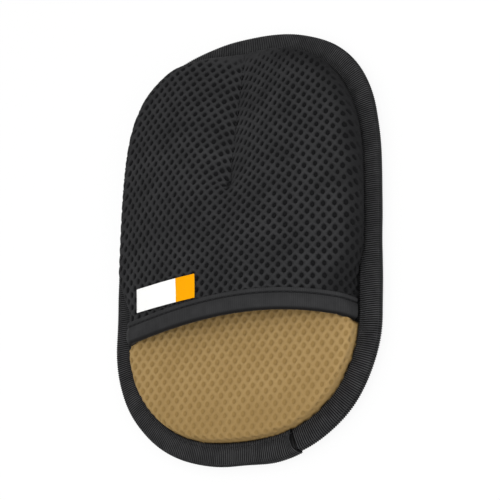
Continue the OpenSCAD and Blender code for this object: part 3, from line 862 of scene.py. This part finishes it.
def pocket_reach(flat):
    """Length of the section that each flat point lies on, and the point's distance along it."""
    ahead = np.maximum(flat[:, 1], 0)
    ray = np.clip(np.arctan2(ahead, flat[:, 0]), POCKET.rays[0], POCKET.rays[-1])
    return POCKET.reach(ray), np.hypot(flat[:, 0], ahead)


def pocket_net():
    def keep(c):
        placed = pocket_gather(c)
        reach, dist = pocket_reach(placed)
        return (dist < reach + 1) & (placed[:, 1] > -COLLAR_LEN) & ~in_dart(c)

    def trim(f):
        reach, dist = pocket_reach(f)
        scale = np.minimum(1, (reach - 0.05) / np.maximum(dist, 1e-6))
        y = np.where(f[:, 1] > 0, f[:, 1] * scale, np.maximum(f[:, 1], -COLLAR_LEN))
        return np.stack([f[:, 0] * scale, y], -1)

    def to_seam(f):
        reach, dist = pocket_reach(f)
        return reach - dist - HEM_PATH

    def painted_shade(f):
        # Painted shade: a shadow along the seam by the tape, the shade on the right flank and a shadow in
        # the dart's notch
        left = to_seam(f)
        flank = FLANK_SHADE * (1 - smooth(*FLANK_REACH, left)) * smooth(0, HALF_W / 2, f[:, 0])
        past_end = f[:, 1] - (DART_END_Y - COLLAR_Y)
        notch = NOTCH_SHADE * np.exp(-(f[:, 0] / NOTCH_X) ** 2 - ((past_end - NOTCH_UP) / NOTCH_Y) ** 2)
        return np.maximum.reduce([POCKET_SEAM_SHADE * smooth(SEAM_REACH / 2, 0, left), flank, notch])

    def openness(f):
        return np.maximum(smooth(*CLOSED_TO_OPEN, to_seam(f)), 1 - smooth(*OPEN_BY_MOUTH, f[:, 1]))

    extent = (HALF_W + NET_SPARE_X, FINGER_LEN + NET_SPARE_Y)
    points, faces, shade = netting(BLACK_NET, extent, keep, pocket_gather, trim, pocket_place, painted_shade,
                                   openness)
    return piece("pocket_net_face", points, faces, black_net, shade, solid=False)


def pocket_back():
    """The pocket's smooth inner face."""
    around, outward, along = 121, 60, 8
    widest = 0.985
    rays = np.linspace(0, np.pi, around)
    share = np.linspace(0.004, widest, outward)
    dist = share[None] * (POCKET.reach(rays) - HEM_PATH)[:, None]
    flat = np.stack([dist * np.cos(rays)[:, None], dist * np.sin(rays)[:, None]], -1).reshape(-1, 2)
    across = np.linspace(-widest, widest, around) * POCKET_SIDE
    ahead = np.linspace(-COLLAR_LEN, 0, along)
    collar = np.stack(np.meshgrid(across, ahead, indexing="ij"), -1).reshape(-1, 2)
    parts = []
    for f, faces in ((flat, grid_faces(around, outward)), (collar, grid_faces(around, along))):
        p, normal = with_normals(pocket_place, f)
        parts.append((p - normal * (MESH_T - 0.3), faces))
    points, faces = joined(parts)
    return piece("pocket_knit_back", points, faces, black_back, solid=False)


def mouth_tape():
    """The tape folded over the mouth: a narrow strip, the sewing groove, then the wide face."""
    groove = BAND_TOP_Y - MOUTH_STITCH_IN - MOUTH_Y
    top = BAND_TOP_Y - MOUTH_Y
    high, low = BAND_OUT, -MESH_T - BAND_OUT
    face = [(top, LAYER_GAP), (top, high - 0.1), (top - 0.3, high), (groove + 0.7, high),
            (groove + 0.25, high - 0.5), (groove - 0.25, high - 0.5), (groove - 0.8, high + 0.05),
            (0.6 * groove, high + 0.35), (0.25 * groove, high + 0.3), (0.5, high - 0.05),
            (-0.5, high - 0.9), (-0.95, high - 1.9)]
    under = [(-0.95, low + 1.7), (-0.3, low + 0.4), (1, low), (0.5 * groove, low - 0.1), (top, low),
             (top, low + TAPE_T), (1.5, low + TAPE_T), (1.5, LAYER_GAP)]
    loop = np.array(face + under)
    ribbed = np.concatenate([np.ones(len(face)), np.zeros(len(under))])
    half = POCKET_SIDE - 1
    count = int(2 * half / RIB_PITCH) * 4
    s = np.linspace(-half, half, count)
    rib = RIB_H * MOUTH_RIB * np.cos(2 * np.pi * s / RIB_PITCH) * (0.7 + 0.3 * waves(s, 41, 23))
    flat = np.stack(np.broadcast_arrays(s[:, None], loop[None, :, 0] - COLLAR_LEN), -1).reshape(-1, 2)
    inside_flat = np.stack([flat[:, 0], np.maximum(flat[:, 1], -COLLAR_LEN)], -1)
    p, normal = with_normals(pocket_place, inside_flat)
    p[:, 1] += np.minimum(flat[:, 1] + COLLAR_LEN, 0)
    height = (loop[None, :, 1] + rib[:, None] * ribbed[None]).reshape(-1)
    points = p + normal * height[:, None]
    n = len(loop)
    faces = grid_faces(count, n, wrap_cols=True)
    faces += [list(range(n)), list(range((count - 1) * n, count * n))[::-1]]
    # Painted shade in the rib grooves and the sewing groove, and a painted shadow along the lower fold
    sewn = np.isclose(loop[:, 1], high - 0.5).astype(float)
    folded = (loop[:, 0] < 0).astype(float)
    shade = np.clip((0.5 - rib / RIB_H)[:, None] + (sewn + folded)[None], 0, 1) * ribbed[None]
    return piece("mouth_binding_tape", points, faces, tape_light, shade.reshape(-1))


def mouth_stitches():
    half = POCKET_SIDE - 3
    count = int(2 * half / (STITCH_LEN + STITCH_GAP))
    s = (np.arange(count) + 0.5) * 2 * half / count - half
    y = np.full(count, BAND_TOP_Y - MOUTH_STITCH_IN - COLLAR_Y)
    flat = np.stack([s, y], -1)
    p, normal = with_normals(pocket_place, flat)
    along = pocket_place(flat + [0.5, 0]) - pocket_place(flat - [0.5, 0])
    points, faces = stitch_row(p + normal * (BAND_OUT - 0.35), along, normal)
    return piece("mouth_stitches", points, faces, thread)


def dart_stitches():
    length = float(POCKET.reach(np.pi / 2)) - HEM_PATH - 6
    start = DART_END_Y - COLLAR_Y
    count = int((length - start) / (STITCH_LEN + STITCH_GAP))
    y = start + (np.arange(count) + 0.5) * (length - start) / count
    flat = np.stack([np.zeros(count), y], -1)
    p = pocket_place(flat)
    along = pocket_place(flat + [0, 0.5]) - pocket_place(flat - [0, 0.5])
    up = np.cross([1.0, 0, 0], unit(along))
    points, faces = stitch_row(p + unit(up) * 0.1, along, up)
    return piece("dart_stitches", points, faces, thread)


# Label


def label_ribbon(name, start, end, material):
    """A ribbon that follows the pocket's curve, with a soft edge and a slight lift along its free side."""
    drop = MOUTH_RISE - THREAD_D - 2 * SIDE_ROLL_R
    slope = math.atan(-2 * drop * LABEL_X / ARCH_HALF**2)
    left, right = LABEL_X - LABEL_L / 2, LABEL_X + LABEL_L / 2
    turn = math.atan((bow_at(right) - bow_at(left)) / LABEL_L) - LABEL_TWIST
    sag = MOUTH_BOW * (LABEL_L / 2 / BOW_HALF) ** 2 + LABEL_L / 2 * math.sin(LABEL_TWIST)
    origin = (LABEL_X, BAND_TOP_Y + bow_at(LABEL_X) + sag + SOFT_GAP,
              RIM_Z + MOUTH_RISE - drop * (LABEL_X / ARCH_HALF) ** 2 + 3 * SOFT_GAP)
    turned = Matrix.Rotation(turn, 3, "Z") @ Matrix.Rotation(-slope, 3, "Y")
    cols, rows = 25, 12
    a, b = np.meshgrid(np.linspace(start, end, cols), np.linspace(0, LABEL_W, rows), indexing="ij")
    bend = -LABEL_SAG * (a / (LABEL_L / 2)) ** 2 + LABEL_LIFT * (b / LABEL_W) ** 2
    bend = bend + LABEL_WAVE * np.sin(a / LABEL_WAVE_LEN + 0.8) * (b / LABEL_W)
    top = np.stack([a, b, bend + LABEL_T], -1).reshape(-1, 3)
    low = np.stack([a, b, bend], -1).reshape(-1, 3)
    n = cols * rows
    faces = grid_faces(cols, rows) + [[i + n for i in f[::-1]] for f in grid_faces(cols, rows)]
    edge = ([c * rows for c in range(cols)] + [(cols - 1) * rows + r for r in range(1, rows)]
            + [c * rows + rows - 1 for c in range(cols - 2, -1, -1)] + list(range(rows - 2, 0, -1)))
    faces += [[i, j, j + n, i + n] for i, j in zip(edge, edge[1:] + edge[:1])]
    local = np.concatenate([top, low])
    points = local @ np.array(turned).T + origin
    ribbon = piece(name, points, faces, material)
    rounded = ribbon.modifiers.new("soft_edge", "BEVEL")
    rounded.width, rounded.segments, rounded.limit_method = LABEL_ROUND * MM, 2, "ANGLE"
    return ribbon


# Build and dress


def ride_palm(obj, slot, *nodes):
    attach(obj, "palm")
    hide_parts(*nodes)


def ride_pocket(obj, slot, *nodes):
    """Bake the piece's placement into its mesh and hide the part's nodes that it stands for."""
    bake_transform(obj)
    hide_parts(*nodes)


ride_palm(edge_tape(), "tape", "edge_binding")
ride_palm(edge_stitches("edge_needle_stitches", RIM_Z + 0.05, 1), "thread", "edge_needle_thread")
ride_palm(edge_stitches("edge_bobbin_stitches", SHELL_Z - TAPE_T - 0.05, -1),
          "thread", "edge_bobbin_thread")
ride_palm(rubber_pad(), "pad_rubber", "nub_pad")
ride_palm(pad_stitches(), "thread", "pad_stitch")
cloth, cloth_flat, cloth_area = palm_cloth_sheet()
ride_palm(cloth, "palm_cloth", "palm_shell")
lining = lining_net()
ride_palm(lining, "tan_mesh", "palm_lining", "foam_interlining")

net_face = pocket_net()
ride_pocket(net_face, "black_mesh", "pocket_mesh")
knit_back = pocket_back()
ride_pocket(knit_back, "black_mesh")
(float(POCKET.reach(np.pi / 2)) + COLLAR_LEN) * MM
ride_pocket(mouth_tape(), "tape", "mouth_binding")
ride_pocket(mouth_stitches(), "thread", "mouth_stitch")
ride_pocket(dart_stitches(), "thread", "dart_stitch")

LABEL_SPLIT = LABEL_L / 2 - LABEL_END_L
for name, start, end, material, slot, node in (
        ("label_ribbon", -LABEL_L / 2, LABEL_SPLIT, label_white, "label_white", "label_tag"),
        ("label_ribbon_end", LABEL_SPLIT, LABEL_L / 2, label_orange, "label_orange", "label_end")):
    ribbon = label_ribbon(name, start, end, material)
    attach(ribbon, "label")
    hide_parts(node)


# Stage: a white sheet of paper, soft light from near the camera, and the photograph's camera


AMBIENT = 0.55
LAMP_AIM = Vector((0, 0, 0.01))


def lamp(name, place, size, power):
    light = bpy.data.lights.new(name, "AREA")
    light.size, light.energy = size, power
    obj = bpy.data.objects.new(name, light)
    obj.location = place
    obj.rotation_euler = (LAMP_AIM - Vector(place)).to_track_quat("-Z", "Y").to_euler()
    bpy.context.scene.collection.objects.link(obj)


def white_to_camera(tree, glow, shader_out, share, output_socket):
    """White, by the given share, where a camera, glossy or transmission ray meets it."""
    path = tree.nodes.new("ShaderNodeLightPath")
    seen = path.outputs["Is Camera Ray"]
    for kind in ("Is Glossy Ray", "Is Transmission Ray"):
        larger = tree.nodes.new("ShaderNodeMath")
        larger.operation = "MAXIMUM"
        tree.links.new(seen, larger.inputs[0])
        tree.links.new(path.outputs[kind], larger.inputs[1])
        seen = larger.outputs[0]
    part = tree.nodes.new("ShaderNodeMath")
    part.operation = "MULTIPLY"
    part.inputs[1].default_value = share
    tree.links.new(seen, part.inputs[0])
    white = tree.nodes.new(glow)
    white.inputs["Color"].default_value = (1, 1, 1, 1)
    choose = tree.nodes.new("ShaderNodeMixShader")
    tree.links.new(part.outputs[0], choose.inputs[0])
    tree.links.new(shader_out, choose.inputs[1])
    tree.links.new(white.outputs[0], choose.inputs[2])
    tree.links.new(choose.outputs[0], output_socket)


world = bpy.data.worlds.new("studio")
bpy.context.scene.world = world
world.use_nodes = True
ambient = world.node_tree.nodes["Background"]
ambient.inputs["Color"].default_value = (1, 1, 1, 1)
ambient.inputs["Strength"].default_value = AMBIENT
white_to_camera(world.node_tree, "ShaderNodeBackground", ambient.outputs[0], 1.0,
                world.node_tree.nodes["World Output"].inputs["Surface"])

FLOOR_HALF = 1.5
# Share of the paper that stays white in the shadow
PAPER_WHITE = 0.9
floor = piece("floor", np.array([(-1, -1, 0), (1, -1, 0), (1, 1, 0), (-1, 1, 0)]) * FLOOR_HALF / MM,
              [[0, 1, 2, 3]], bpy.data.materials.new("paper"), solid=False)
paper = floor.data.materials[0]
paper.use_nodes = True
paper_face = paper.node_tree.nodes["Principled BSDF"]
paper_face.inputs["Base Color"].default_value = (0.95, 0.95, 0.95, 1)
paper_face.inputs["Roughness"].default_value = 0.9
white_to_camera(paper.node_tree, "ShaderNodeEmission", paper_face.outputs[0], PAPER_WHITE,
                paper.node_tree.nodes["Material Output"].inputs["Surface"])

lamp("key", (0.5, -0.25, 0.95), size=1.0, power=10)
lamp("fill", (-0.5, 0.3, 0.9), size=0.8, power=1)

# Camera, fitted to the photograph by the mitt's outline

VIEW = Vector((0.49825, -0.25387, 0.82904)).normalized()
ROLL = math.radians(1.15)
PIVOT = Vector((0, WIDEST_Y, RIM_Z)) * MM
DISTANCE = 1.111
AIM_RIGHT, AIM_UP = 3.9 * MM, 41.2 * MM
LENS = 151.5

up_level = (Vector((0, 1, 0)) - VIEW.y * VIEW).normalized()
right_level = up_level.cross(VIEW)
right = math.cos(ROLL) * right_level + math.sin(ROLL) * up_level
up = -math.sin(ROLL) * right_level + math.cos(ROLL) * up_level
camera_data = bpy.data.cameras.new("camera")
camera_data.lens, camera_data.sensor_width = LENS, 36
camera = bpy.data.objects.new("camera", camera_data)
bpy.context.scene.collection.objects.link(camera)
camera.location = PIVOT + DISTANCE * VIEW
aim = PIVOT + AIM_RIGHT * right + AIM_UP * up
back = (camera.location - aim).normalized()
side = up.cross(back).normalized()
camera.rotation_euler = Matrix((side, back.cross(side), back)).transposed().to_euler()
bpy.context.scene.camera = camera
bpy.context.scene.view_settings.view_transform = "Standard"
